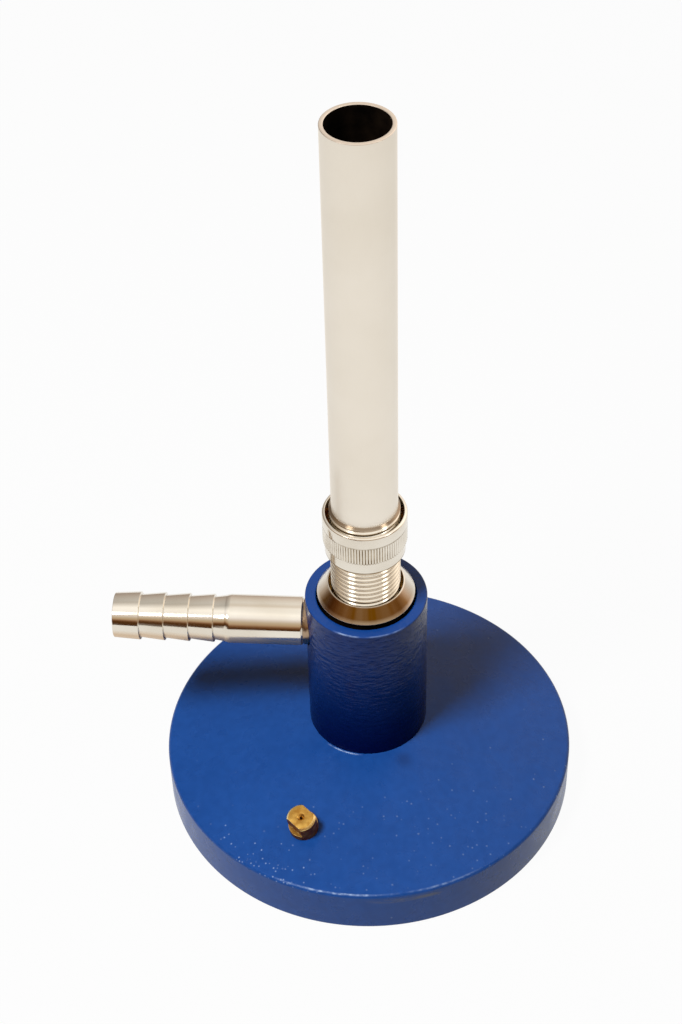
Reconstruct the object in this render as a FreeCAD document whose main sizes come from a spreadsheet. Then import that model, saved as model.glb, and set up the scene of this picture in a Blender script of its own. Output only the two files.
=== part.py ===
import FreeCAD
import Part
import Sketcher
import os
import re

# Laboratory burner on a round cast base, in millimetres, +Z up.
# The origin is on the burner's axis, in the plane that the base stands on.
# The hose nozzle points along -X.

SIZES = {
    # Cast base: a disc with a conical top, hollowed a little underneath
    "base_radius": 43.0,
    "base_rim_height": 10.2,
    "base_foot_height": 17.8,
    "base_rim_chamfer": 0.6,
    "base_edge_chamfer": 0.6,
    "rest_ring_width": 7.0,
    "recess_depth": 4.0,
    "recess_draft": 1.2,
    "base_web": 5.8,
    "seat_margin": 0.3,
    # Column: a cup that stands on the base
    "column_radius": 12.3,
    "column_length": 35.2,
    "column_bore_radius": 10.0,
    "column_floor": 9.2,
    "column_edge_chamfer": 0.25,
    # Screw and spring washer that hold the column from beneath
    "screw_radius": 4.0,
    "screw_reach": 7.0,
    "screw_head_radius": 6.5,
    "screw_head_height": 5.0,
    "screw_chamfer": 0.6,
    "screw_slot_width": 2.0,
    "screw_slot_depth": 2.2,
    "screw_hole_clearance": 0.4,
    "counterbore_clearance": 1.0,
    "spring_washer_rim": 2.5,
    "spring_washer_thickness": 2.0,
    "spring_washer_split": 1.2,
    # Gas body inside the column
    "body_length": 22.0,
    "gas_passage_radius": 2.0,
    "gas_passage_reach": 1.5,
    # Gas jet, fitted and spare
    "jet_stem_radius": 2.5,
    "jet_stem_length": 4.2,
    "jet_head_radius": 3.0,
    "jet_head_height": 4.7,
    "jet_head_chamfer": 0.4,
    "jet_flats_width": 4.3,
    "jet_flats_depth": 3.05,
    "jet_bore_radius": 1.1,
    "jet_orifice_radius": 0.3,
    "jet_orifice_length": 0.9,
    "jet_flats_turn": 136.9,
    "jet_hole_spare": 0.8,
    "spare_jet_inset": 12.3,
    "spare_jet_azimuth": 247.8,
    # Tube carrier: a threaded ring with air ways round it
    "carrier_length": 4.9,
    "carrier_wall": 0.95,
    "carrier_slot_width": 4.0,
    "carrier_slot_count": 6,
    "carrier_foot_opening": 1.9,
    # Air cone in the column's mouth
    "cone_skirt_wall": 0.85,
    "cone_skirt_length": 1.8,
    "cone_edge_height": 5.0,
    "cone_neck_relief": 0.45,
    "cone_edge_relief": 0.1,
    "cone_rim_thickness": 0.2,
    "cone_rise": 2.8,
    "cone_mouth_radius": 7.75,
    "cone_lip": 0.25,
    "cone_inner_drop": 2.5,
    # Burner tube with its threaded foot
    "tube_radius": 6.5,
    "tube_bore_radius": 5.7,
    "tube_length": 111.8,
    "tube_lift": 1.7,
    "thread_radius": 6.95,
    "thread_length": 26.4,
    "thread_chamfer": 0.5,
    "tube_mouth_chamfer": 0.15,
    # Knurled air ring, screwed on the tube's thread
    "ring_opening": 9.4,
    "ring_nose_radius": 7.95,
    "ring_nose_length": 2.8,
    "ring_radius": 8.3,
    "knurl_length": 4.1,
    "knurl_count": 92,
    "knurl_depth": 0.2,
    "knurl_width": 0.34,
    "ring_band_length": 2.35,
    "ring_crown": 0.35,
    "ring_crown_inset": 0.45,
    "ring_rim_width": 0.45,
    "ring_counterbore_depth": 3.6,
    # Hose nozzle and its washer
    "inlet_drop": 4.6,
    "inlet_spigot_radius": 4.0,
    "inlet_spigot_end": 4.6,
    "inlet_port_clearance": 0.3,
    "inlet_bore_radius": 2.75,
    "spot_face_distance": 11.3,
    "spot_face_clearance": 0.3,
    "inlet_washer_radius": 4.8,
    "inlet_washer_thickness": 1.4,
    "inlet_radius": 5.0,
    "inlet_relief_radius": 4.6,
    "inlet_relief_width": 0.28,
    "inlet_body_length": 14.8,
    "inlet_taper_length": 1.2,
    "inlet_neck_radius": 4.75,
    "inlet_neck_length": 2.3,
    "barb_crest_radius": 4.95,
    "barb_root_radius": 4.4,
    "barb_pitch": 5.05,
    "barb_count": 4,
    "nozzle_tip_length": 5.4,
    "nozzle_tip_radius": 4.6,
    "nozzle_tip_chamfer": 0.3,
    # Fits
    "thread_fit": 0.05,
    "press_gap": 0.05,
}

# Heights, distances and angles that follow from the sizes
DERIVED = {
    "counterbore_roof": "base_foot_height - base_web",
    "counterbore_radius": "screw_head_radius + counterbore_clearance",
    "screw_hole_radius": "screw_radius + screw_hole_clearance",
    "screw_head_top": "counterbore_roof - spring_washer_thickness",
    "screw_head_bottom": "screw_head_top - screw_head_height",
    "screw_tip": "base_foot_height + screw_reach",
    "column_top": "base_foot_height + column_length",
    "body_seat": "base_foot_height + column_floor",
    "body_radius": "column_bore_radius - press_gap",
    "body_top": "body_seat + body_length",
    "inlet_height": "body_top - inlet_drop",
    "inlet_shoulder": "spot_face_distance + inlet_washer_thickness",
    "inlet_body_end": "inlet_shoulder + inlet_body_length",
    "inlet_neck_start": "inlet_body_end + inlet_taper_length",
    "barb_start": "inlet_neck_start + inlet_neck_length",
    "tip_start": "barb_start + (barb_count - 1) * barb_pitch",
    "nozzle_tip": "tip_start + nozzle_tip_length",
    "skirt_radius": "column_bore_radius - press_gap",
    "skirt_inner_radius": "skirt_radius - cone_skirt_wall",
    "cone_neck_radius": "skirt_radius - cone_neck_relief",
    "cone_edge_radius": "skirt_radius - cone_edge_relief",
    "cone_edge": "body_top + cone_edge_height",
    "cone_mouth": "cone_edge + cone_rise",
    "carrier_radius": "skirt_inner_radius - press_gap",
    "carrier_bore_radius": "thread_radius + thread_fit",
    "tube_foot": "body_top + tube_lift",
    "thread_top": "tube_foot + thread_length",
    "tube_top": "tube_foot + tube_length",
    "ring_bottom": "cone_mouth + ring_opening",
    "knurl_bottom": "ring_bottom + ring_nose_length",
    "knurl_top": "knurl_bottom + knurl_length",
    "ring_crown_start": "knurl_top + ring_band_length",
    "ring_top": "ring_crown_start + ring_crown",
    "ring_bore_radius": "thread_radius + thread_fit",
    "ring_counterbore_radius": "ring_radius - ring_crown_inset - ring_rim_width",
    "seat_radius": "column_radius + seat_margin",
    "base_slope": "(base_foot_height - base_rim_height) / (base_radius - seat_radius)",
    "base_tilt": "atan(base_slope)",
    "spare_jet_distance": "base_radius - spare_jet_inset",
    "spare_jet_height": "base_rim_height + spare_jet_inset * base_slope",
    "jet_hole_radius": "jet_stem_radius + thread_fit",
    "jet_hole_depth": "jet_stem_length + jet_hole_spare",
}

doc = FreeCAD.newDocument("burner")
sheet = doc.addObject("Spreadsheet::Sheet", "Sizes")
for row, (size_name, size) in enumerate(SIZES.items(), start=1):
    sheet.set(f"A{row}", size_name)
    sheet.set(f"B{row}", str(size))
    sheet.setAlias(f"B{row}", size_name)
doc.recompute()


def bind(text):
    """Writes a size rule as an expression on the sheet's cells."""

    def cell(match):
        word = match.group(0)
        if word in SIZES:
            return f"Sizes.{word}"
        if word in DERIVED:
            return f"({bind(DERIVED[word])})"
        return word

    return re.sub(r"[a-z_]+", cell, text)


def value(text):
    """The number that a size rule gives."""
    return float(sheet.evalExpression(bind(text)))


def origin_feature(body, role):
    return next(item for item in body.Origin.OriginFeatures if item.Role == role)


def new_body(label):
    body = doc.addObject("PartDesign::Body", label)
    body.Label = label
    return body


def sketch_on(body, name, role, lift=None):
    """An empty sketch on one of the body's own planes, lifted along the plane's normal."""
    sketch = body.newObject("Sketcher::SketchObject", name)
    sketch.AttachmentSupport = [(origin_feature(body, role), "")]
    sketch.MapMode = "FlatFace"
    if lift:
        sketch.setExpression("AttachmentOffset.Base.z", bind(lift))
    return sketch


def hold_coordinate(sketch, kind, geometry, point, text):
    """Ties one coordinate of a point to a size rule, measured from the sketch's origin."""
    axis = -2 if kind == "DistanceX" else -1
    number = value(text)
    if abs(number) < 1e-9:
        sketch.addConstraint(Sketcher.Constraint("PointOnObject", geometry, point, axis))
        return
    if number > 0:
        index = sketch.addConstraint(Sketcher.Constraint(kind, -1, 1, geometry, point, number))
        rule = bind(text)
    else:
        index = sketch.addConstraint(Sketcher.Constraint(kind, geometry, point, -1, 1, -number))
        rule = f"-({bind(text)})"
    sketch.setExpression(f"Constraints[{index}]", rule)


def outline(sketch, corners):
    """A closed outline of straight sides through (x, y) corners that follow size rules."""
    points = [FreeCAD.Vector(value(x), value(y), 0) for x, y in corners]
    first = sketch.GeometryCount
    count = len(corners)
    for index, point in enumerate(points):
        sketch.addGeometry(Part.LineSegment(point, points[(index + 1) % count]), False)
    for index, (x, y) in enumerate(corners):
        following = (index + 1) % count
        sketch.addConstraint(Sketcher.Constraint("Coincident", first + index, 2, first + following, 1))
        hold_coordinate(sketch, "DistanceX", first + index, 1, x)
        hold_coordinate(sketch, "DistanceY", first + index, 1, y)
    return sketch


def circle(sketch, x, y, radius):
    """A circle whose centre and radius follow size rules."""
    centre = FreeCAD.Vector(value(x), value(y), 0)
    normal = FreeCAD.Vector(0, 0, 1)
    geometry = sketch.addGeometry(Part.Circle(centre, normal, value(radius)), False)
    index = sketch.addConstraint(Sketcher.Constraint("Radius", geometry, value(radius)))
    sketch.setExpression(f"Constraints[{index}]", bind(radius))
    hold_coordinate(sketch, "DistanceX", geometry, 3, x)
    hold_coordinate(sketch, "DistanceY", geometry, 3, y)
    return sketch


def turn(body, corners):
    """A turned solid: the outline of (radius, height) corners goes round the body's Z axis."""
    sketch = outline(sketch_on(body, f"{body.Label}_profile", "XZ_Plane"), corners)
    solid = body.newObject("PartDesign::Revolution", f"{body.Label}_turned")
    solid.Profile = sketch
    solid.ReferenceAxis = (sketch, ["V_Axis"])
    solid.Angle = 360
    sketch.Visibility = False
    doc.recompute()
    return solid


def cut(body, sketch, name, length, reverse=False):
    """A pocket of the given length. It has to take material away."""
    before = body.Shape.Volume
    pocket = body.newObject("PartDesign::Pocket", name)
    pocket.Profile = sketch
    pocket.Reversed = reverse
    pocket.setExpression("Length", bind(length))
    doc.recompute()
    if not body.Shape.Volume < before - 1e-6:
        raise ValueError(f"{name} takes nothing away")
    return pocket


def repeat_round(body, feature, name, count):
    """Repeats a feature round the body's Z axis."""
    pattern = body.newObject("PartDesign::PolarPattern", name)
    pattern.Originals = [feature]
    pattern.Axis = (origin_feature(body, "Z_Axis"), [""])
    pattern.Angle = 360
    pattern.setExpression("Occurrences", bind(count))
    body.Tip = pattern
    doc.recompute()
    return pattern


def place(body, x="0", y="0", z="0", turn_axis=None, turn_angle=None):
    """Sets a body's place, and its turn about an axis, by size rules."""
    for letter, text in zip("xyz", (x, y, z)):
        body.setExpression(f"Placement.Base.{letter}", bind(text))
    if turn_axis:
        for letter, text in zip("xyz", turn_axis):
            body.setExpression(f"Placement.Rotation.Axis.{letter}", bind(text))
        body.setExpression("Placement.Rotation.Angle", bind(turn_angle))


SPARE_JET_X = "spare_jet_distance * cos(spare_jet_azimuth * 1 deg)"
SPARE_JET_Y = "spare_jet_distance * sin(spare_jet_azimuth * 1 deg)"
SPARE_JET_TILT_AXIS = ("-sin(spare_jet_azimuth * 1 deg)", "cos(spare_jet_azimuth * 1 deg)", "0")


def make_base():
    body = new_body("base")
    turn(
        body,
        [
            ("base_radius - rest_ring_width", "0"),
            ("base_radius - base_edge_chamfer", "0"),
            ("base_radius", "base_edge_chamfer"),
            ("base_radius", "base_rim_height - base_rim_chamfer"),
            ("base_radius - base_rim_chamfer", "base_rim_height + base_rim_chamfer * base_slope"),
            ("seat_radius", "base_foot_height"),
            ("screw_hole_radius", "base_foot_height"),
            ("screw_hole_radius", "counterbore_roof"),
            ("counterbore_radius", "counterbore_roof"),
            ("counterbore_radius", "recess_depth"),
            ("base_radius - rest_ring_width - recess_draft", "recess_depth"),
        ],
    )
    drill_spare_jet_hole(body)
    return body


def drill_spare_jet_hole(body):
    """The blind hole that keeps the spare jet, square to the sloping top."""
    before = body.Shape.Volume
    hole = body.newObject("PartDesign::SubtractiveCylinder", "spare_jet_hole")
    hole.AttachmentSupport = [(origin_feature(body, "XY_Plane"), "")]
    hole.MapMode = "FlatFace"
    hole.setExpression("Radius", bind("jet_hole_radius"))
    hole.setExpression("Height", bind("2 * jet_hole_depth"))
    lean = "jet_hole_depth * sin(base_tilt)"
    foot = {
        "x": f"{SPARE_JET_X} - {lean} * cos(spare_jet_azimuth * 1 deg)",
        "y": f"{SPARE_JET_Y} - {lean} * sin(spare_jet_azimuth * 1 deg)",
        "z": "spare_jet_height - jet_hole_depth * cos(base_tilt)",
    }
    for letter, text in foot.items():
        hole.setExpression(f"AttachmentOffset.Base.{letter}", bind(text))
    for letter, text in zip("xyz", SPARE_JET_TILT_AXIS):
        hole.setExpression(f"AttachmentOffset.Rotation.Axis.{letter}", bind(text))
    hole.setExpression("AttachmentOffset.Rotation.Angle", bind("base_tilt"))
    doc.recompute()
    if not body.Shape.Volume < before - 1e-6:
        raise ValueError("spare_jet_hole takes nothing away")


def make_column():
    body = new_body("column")
    turn(
        body,
        [
            ("screw_radius + thread_fit", "base_foot_height"),
            ("column_radius", "base_foot_height"),
            ("column_radius", "column_top - column_edge_chamfer"),
            ("column_radius - column_edge_chamfer", "column_top"),
            ("column_bore_radius + column_edge_chamfer", "column_top"),
            ("column_bore_radius", "column_top - column_edge_chamfer"),
            ("column_bore_radius", "body_seat"),
            ("screw_radius + thread_fit", "body_seat"),
        ],
    )
    port = sketch_on(body, "inlet_port_circle", "YZ_Plane")
    circle(port, "0", "inlet_height", "inlet_spigot_radius + inlet_port_clearance")
    cut(body, port, "inlet_port", "2 * column_radius")
    face = sketch_on(body, "spot_face_circle", "YZ_Plane", "-spot_face_distance")
    circle(face, "0", "inlet_height", "inlet_washer_radius + spot_face_clearance")
    cut(body, face, "spot_face", "column_radius")
    return body


def make_fixing_screw():
    body = new_body("fixing_screw")
    turn(
        body,
        [
            ("0", "screw_head_bottom"),
            ("screw_head_radius", "screw_head_bottom"),
            ("screw_head_radius", "screw_head_top"),
            ("screw_radius", "screw_head_top"),
            ("screw_radius", "screw_tip - screw_chamfer"),
            ("screw_radius - screw_chamfer", "screw_tip"),
            ("0", "screw_tip"),
        ],
    )
    slot = sketch_on(body, "screw_slot_outline", "XY_Plane", "screw_head_bottom")
    outline(
        slot,
        [
            ("-2 * screw_head_radius", "-screw_slot_width / 2"),
            ("2 * screw_head_radius", "-screw_slot_width / 2"),
            ("2 * screw_head_radius", "screw_slot_width / 2"),
            ("-2 * screw_head_radius", "screw_slot_width / 2"),
        ],
    )
    cut(body, slot, "screw_slot", "screw_slot_depth", reverse=True)
    return body


def make_spring_washer():
    body = new_body("spring_washer")
    bore = "screw_radius + screw_hole_clearance / 2"
    turn(
        body,
        [
            (bore, "screw_head_top"),
            (f"{bore} + spring_washer_rim", "screw_head_top"),
            (f"{bore} + spring_washer_rim", "counterbore_roof"),
            (bore, "counterbore_roof"),
        ],
    )
    split = sketch_on(body, "split_outline", "XY_Plane", "screw_head_top")
    outline(
        split,
        [
            ("screw_radius / 2", "-spring_washer_split / 2"),
            ("2 * screw_head_radius", "-spring_washer_split / 2"),
            ("2 * screw_head_radius", "spring_washer_split / 2"),
            ("screw_radius / 2", "spring_washer_split / 2"),
        ],
    )
    cut(body, split, "split", "spring_washer_thickness", reverse=True)
    return body


def make_gas_body():
    body = new_body("gas_body")
    turn(
        body,
        [
            ("0", "body_seat"),
            ("body_radius", "body_seat"),
            ("body_radius", "body_top"),
            ("jet_hole_radius", "body_top"),
            ("jet_hole_radius", "body_top - jet_hole_depth"),
            ("0", "body_top - jet_hole_depth"),
        ],
    )
    socket = sketch_on(body, "inlet_socket_circle", "YZ_Plane", "-inlet_spigot_end")
    circle(socket, "0", "inlet_height", "inlet_spigot_radius + thread_fit")
    cut(body, socket, "inlet_socket", "column_radius")
    passage = sketch_on(body, "gas_passage_circle", "YZ_Plane", "gas_passage_reach")
    circle(passage, "0", "inlet_height", "gas_passage_radius")
    cut(body, passage, "gas_passage", "column_radius")
    return body


def make_jet(label):
    """A jet standing on its own seat plane, with its stem below."""
    body = new_body(label)
    orifice_foot = "jet_head_height - jet_orifice_length"
    turn(
        body,
        [
            ("jet_bore_radius", "-jet_stem_length"),
            ("jet_stem_radius", "-jet_stem_length"),
            ("jet_stem_radius", "0"),
            ("jet_head_radius", "0"),
            ("jet_head_radius", "jet_head_height - jet_head_chamfer"),
            ("jet_head_radius - jet_head_chamfer", "jet_head_height"),
            ("jet_orifice_radius", "jet_head_height"),
            ("jet_orifice_radius", orifice_foot),
            ("jet_bore_radius", orifice_foot),
        ],
    )
    flat = sketch_on(body, f"{label}_flat_outline", "XY_Plane", "jet_head_height - jet_flats_depth")
    outline(
        flat,
        [
            ("-2 * jet_head_radius", "jet_flats_width / 2"),
            ("2 * jet_head_radius", "jet_flats_width / 2"),
            ("2 * jet_head_radius", "2 * jet_head_radius"),
            ("-2 * jet_head_radius", "2 * jet_head_radius"),
        ],
    )
    flat.setExpression("AttachmentOffset.Rotation.Angle", bind("jet_flats_turn"))
    pocket = cut(body, flat, f"{label}_flat", "2 * jet_flats_depth", reverse=True)
    repeat_round(body, pocket, f"{label}_flats", "2")
    return body


def make_gas_jet():
    body = make_jet("gas_jet")
    place(body, z="body_top")
    return body


def make_spare_jet():
    body = make_jet("spare_jet")
    place(body, SPARE_JET_X, SPARE_JET_Y, "spare_jet_height", SPARE_JET_TILT_AXIS, "base_tilt")
    return body


def make_tube_carrier():
    body = new_body("tube_carrier")
    top = "body_top + carrier_length"
    turn(
        body,
        [
            ("carrier_bore_radius", "body_top"),
            ("carrier_radius", "body_top"),
            ("carrier_radius", top),
            ("carrier_bore_radius", top),
        ],
    )
    cuts = (
        ("air_way", "carrier_bore_radius + carrier_wall", "2 * carrier_length"),
        ("foot_opening", "tube_bore_radius", "carrier_foot_opening"),
    )
    for name, inner, height in cuts:
        slot = sketch_on(body, f"{name}_outline", "XY_Plane", "body_top")
        outline(
            slot,
            [
                (inner, "-carrier_slot_width / 2"),
                ("2 * carrier_radius", "-carrier_slot_width / 2"),
                ("2 * carrier_radius", "carrier_slot_width / 2"),
                (inner, "carrier_slot_width / 2"),
            ],
        )
        pocket = cut(body, slot, name, height, reverse=True)
        repeat_round(body, pocket, f"{name}s", "carrier_slot_count")
    return body


def make_air_cone():
    body = new_body("air_cone")
    turn(
        body,
        [
            ("skirt_inner_radius", "body_top"),
            ("skirt_radius", "body_top"),
            ("skirt_radius", "body_top + cone_skirt_length"),
            ("cone_neck_radius", "body_top + cone_skirt_length"),
            ("cone_neck_radius", "cone_edge - cone_rim_thickness"),
            ("cone_edge_radius", "cone_edge - cone_rim_thickness"),
            ("cone_edge_radius", "cone_edge"),
            ("cone_mouth_radius", "cone_mouth"),
            ("cone_mouth_radius - cone_lip", "cone_mouth"),
            ("skirt_inner_radius", "cone_mouth - cone_inner_drop"),
        ],
    )
    return body


def make_burner_tube():
    body = new_body("burner_tube")
    turn(
        body,
        [
            ("tube_bore_radius", "tube_foot"),
            ("thread_radius - thread_chamfer", "tube_foot"),
            ("thread_radius", "tube_foot + thread_chamfer"),
            ("thread_radius", "thread_top - (thread_radius - tube_radius)"),
            ("tube_radius", "thread_top"),
            ("tube_radius", "tube_top - tube_mouth_chamfer"),
            ("tube_radius - tube_mouth_chamfer", "tube_top"),
            ("tube_bore_radius", "tube_top"),
        ],
    )
    return body


def make_air_ring():
    body = new_body("air_ring")
    turn(
        body,
        [
            ("ring_bore_radius", "ring_bottom"),
            ("ring_nose_radius", "ring_bottom"),
            ("ring_nose_radius", "knurl_bottom"),
            ("ring_radius", "knurl_bottom"),
            ("ring_radius", "ring_crown_start"),
            ("ring_radius - ring_crown_inset", "ring_top"),
            ("ring_counterbore_radius", "ring_top"),
            ("ring_counterbore_radius", "ring_top - ring_counterbore_depth"),
            ("ring_bore_radius", "ring_top - ring_counterbore_depth"),
        ],
    )
    groove = sketch_on(body, "knurl_groove_outline", "XY_Plane", "knurl_bottom")
    outline(
        groove,
        [
            ("ring_radius - knurl_depth", "0"),
            ("ring_radius + knurl_depth", "-knurl_width"),
            ("ring_radius + knurl_depth", "knurl_width"),
        ],
    )
    pocket = cut(body, groove, "knurl_groove", "knurl_length", reverse=True)
    repeat_round(body, pocket, "knurl", "knurl_count")
    return body


def make_gas_inlet():
    """The hose nozzle, turned upright and then laid along -X at the height of the gas body's socket."""
    body = new_body("gas_inlet")
    corners = [
        ("inlet_bore_radius", "inlet_spigot_end"),
        ("inlet_spigot_radius", "inlet_spigot_end"),
        ("inlet_spigot_radius", "inlet_shoulder"),
        ("inlet_relief_radius", "inlet_shoulder"),
        ("inlet_relief_radius", "inlet_shoulder + inlet_relief_width"),
        ("inlet_radius", "inlet_shoulder + inlet_relief_width"),
        ("inlet_radius", "inlet_body_end"),
        ("inlet_neck_radius", "inlet_neck_start"),
        ("barb_root_radius", "barb_start"),
    ]
    for barb in range(SIZES["barb_count"] - 1):
        corners += [
            ("barb_crest_radius", f"barb_start + {barb} * barb_pitch"),
            ("barb_root_radius", f"barb_start + {barb + 1} * barb_pitch"),
        ]
    corners += [
        ("barb_crest_radius", "tip_start"),
        ("nozzle_tip_radius", "nozzle_tip - nozzle_tip_chamfer"),
        ("nozzle_tip_radius - nozzle_tip_chamfer", "nozzle_tip"),
        ("inlet_bore_radius", "nozzle_tip"),
    ]
    turn(body, corners)
    place(body, z="inlet_height", turn_axis=("0", "-1", "0"), turn_angle="90")
    return body


def make_inlet_washer():
    body = new_body("inlet_washer")
    bore = "inlet_spigot_radius + inlet_port_clearance"
    turn(
        body,
        [
            (bore, "spot_face_distance"),
            ("inlet_washer_radius", "spot_face_distance"),
            ("inlet_washer_radius", "inlet_shoulder"),
            (bore, "inlet_shoulder"),
        ],
    )
    place(body, z="inlet_height", turn_axis=("0", "-1", "0"), turn_angle="90")
    return body


parts = [
    make_base(),
    make_column(),
    make_fixing_screw(),
    make_spring_washer(),
    make_gas_body(),
    make_gas_jet(),
    make_spare_jet(),
    make_tube_carrier(),
    make_air_cone(),
    make_burner_tube(),
    make_air_ring(),
    make_gas_inlet(),
    make_inlet_washer(),
]
doc.recompute()

for item in doc.Objects:
    if "Invalid" in item.State or "Error" in item.State:
        raise ValueError(f"{item.Label} failed: {item.State}")
for part in parts:
    if part.Shape.isNull() or not part.Shape.isValid():
        raise ValueError(f"{part.Label} has no valid shape")

os.makedirs("parts", exist_ok=True)
for part in parts:
    part.Shape.exportStep(f"parts/{part.Label}.step")
    box = part.Shape.BoundBox
    print(
        f"{part.Label}: {part.Shape.Volume:.1f} mm3, solids {len(part.Shape.Solids)},",
        f"x {box.XMin:.2f} {box.XMax:.2f}, y {box.YMin:.2f} {box.YMax:.2f}, z {box.ZMin:.2f} {box.ZMax:.2f}",
    )
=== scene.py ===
import math

import bmesh
import bpy
from mathutils import Matrix, Vector


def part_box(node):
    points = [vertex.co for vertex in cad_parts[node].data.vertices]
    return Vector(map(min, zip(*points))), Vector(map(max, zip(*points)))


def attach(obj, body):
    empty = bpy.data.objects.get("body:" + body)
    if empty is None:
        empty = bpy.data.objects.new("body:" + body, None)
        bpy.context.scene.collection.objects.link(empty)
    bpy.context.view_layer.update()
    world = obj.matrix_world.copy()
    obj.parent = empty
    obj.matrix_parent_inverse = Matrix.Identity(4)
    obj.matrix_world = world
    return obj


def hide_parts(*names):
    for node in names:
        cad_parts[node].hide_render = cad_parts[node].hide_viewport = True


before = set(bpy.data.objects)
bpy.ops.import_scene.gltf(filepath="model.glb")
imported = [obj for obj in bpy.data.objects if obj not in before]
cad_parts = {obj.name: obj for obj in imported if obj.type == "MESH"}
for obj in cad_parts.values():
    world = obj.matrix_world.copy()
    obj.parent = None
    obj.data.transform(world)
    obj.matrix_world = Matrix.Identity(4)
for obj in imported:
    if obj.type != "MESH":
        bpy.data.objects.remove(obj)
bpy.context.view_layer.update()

MM = 0.001
# Points nearer than this are one point
TOUCH = 0.002 * MM

# Corners of the turned pieces
BASE_SEGMENTS = 256
COLUMN_SEGMENTS = 192
CONE_SEGMENTS = 192
TUBE_SEGMENTS = 128
NOZZLE_SEGMENTS = 128
JET_SEGMENTS = 96

# Edges that turn by less than this are shaded smooth
SMOOTH_ANGLE = math.radians(32)

# How far up the normal of a face points: a jet's sides have less than upright, its flats more
# than level, and the tube's lip more than tilted up
UPRIGHT = 0.3
LEVEL = 0.95
TILTED_UP = 0.2

# Outer sizes, read from the frame
base_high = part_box("base")[1]
column_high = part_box("column")[1]
cone_low, cone_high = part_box("air_cone")
tube_low, tube_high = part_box("burner_tube")
ring_low, ring_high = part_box("air_ring")
inlet_low, inlet_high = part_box("gas_inlet")
washer_low, washer_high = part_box("inlet_washer")
jet_low, jet_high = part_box("gas_jet")
body_low, body_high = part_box("gas_body")

# Base
BASE_RADIUS = base_high.y
BASE_FOOT = base_high.z
RIM_HEIGHT = 10.2 * MM
RIM_ROUND = 0.7 * MM
EDGE_ROUND = 0.5 * MM
REST_RING_WIDTH = 7.0 * MM
RECESS_DEPTH = 4.0 * MM
RECESS_DRAFT = 1.2 * MM
SEAT_RADIUS = column_high.y + 0.3 * MM
COUNTERBORE_RADIUS = 7.5 * MM
COUNTERBORE_ROOF = 12.0 * MM
SCREW_HOLE_RADIUS = 4.4 * MM

# Column
COLUMN_RADIUS = column_high.y
COLUMN_TOP = column_high.z
COLUMN_BORE_RADIUS = 10.0 * MM
COLUMN_EDGE_ROUND = 0.35 * MM
SCREW_BORE_RADIUS = 4.05 * MM
BODY_SEAT = body_low.z
SPOT_FACE_RADIUS = 5.1 * MM
PORT_RADIUS = 4.3 * MM

# Hose nozzle, measured outwards from the burner's axis
INLET_HEIGHT = (inlet_low.z + inlet_high.z) / 2
INLET_RADIUS = inlet_high.y
NOZZLE_TIP = -inlet_low.x
SPIGOT_END = -inlet_high.x
SPIGOT_RADIUS = 4.0 * MM
WASHER_RADIUS = washer_high.y
WASHER_SEAT = -washer_high.x
INLET_SHOULDER = -washer_low.x
INLET_RELIEF_RADIUS = 4.6 * MM
INLET_RELIEF_WIDTH = 0.28 * MM
INLET_BODY_END = INLET_SHOULDER + 14.8 * MM
INLET_NECK_START = INLET_BODY_END + 1.2 * MM
INLET_NECK_RADIUS = 4.75 * MM
INLET_NECK_BULGE = 0.05 * MM
BARB_START = INLET_NECK_START + 2.3 * MM
BARB_CREST_RADIUS = 4.95 * MM
BARB_ROOT_RADIUS = 4.4 * MM
BARB_PITCH = 5.05 * MM
BARB_COUNT = 4
NOZZLE_TIP_RADIUS = 4.6 * MM
INLET_BORE_RADIUS = 2.75 * MM
NOZZLE_MOUTH_ROUND = 0.3 * MM
NOZZLE_EDGE_ROUND = 0.14 * MM
WASHER_EDGE_ROUND = 0.18 * MM

# Air cone
CONE_FOOT = cone_low.z
CONE_MOUTH = cone_high.z
SKIRT_RADIUS = cone_high.y
SKIRT_WALL = 0.85 * MM
SKIRT_TOP = CONE_FOOT + 1.8 * MM
CONE_NECK_RADIUS = SKIRT_RADIUS - 0.45 * MM
CONE_EDGE = CONE_FOOT + 5.0 * MM
CONE_EDGE_RADIUS = SKIRT_RADIUS - 0.1 * MM
CONE_RIM_THICKNESS = 0.2 * MM
CONE_MOUTH_RADIUS = 7.75 * MM
CONE_LIP = 0.2 * MM
CONE_INNER_DROP = 2.5 * MM
CONE_EDGE_ROUND = 0.06 * MM
CONE_LIP_ROUND = 0.1 * MM

# Burner tube and its thread
TUBE_FOOT = tube_low.z
TUBE_TOP = tube_high.z
TUBE_RADIUS = 6.5 * MM
TUBE_BORE_RADIUS = 5.7 * MM
TUBE_LIP_ROUND = 0.14 * MM
TUBE_LIP_DEPTH = 0.2 * MM
THREAD_RADIUS = tube_high.y
THREAD_CHAMFER = 0.5 * MM
THREAD_TOP = TUBE_FOOT + 26.4 * MM
THREAD_PITCH = 1.15 * MM
THREAD_DEPTH = 0.46 * MM
THREAD_RUN_OUT = 0.3 * MM
THREAD_SPANS = 3
THREAD_ROWS = 120

# Knurled air ring
RING_BOTTOM = ring_low.z
RING_TOP = ring_high.z
RING_RADIUS = ring_high.y
RING_BORE_RADIUS = 7.0 * MM
RING_NOSE_RADIUS = 7.95 * MM
KNURL_BOTTOM = RING_BOTTOM + 2.8 * MM
KNURL_TOP = KNURL_BOTTOM + 4.1 * MM
KNURL_COUNT = 92
KNURL_STEPS = 8
KNURL_DEPTH = 0.2 * MM
KNURL_END = 0.12 * MM
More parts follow.
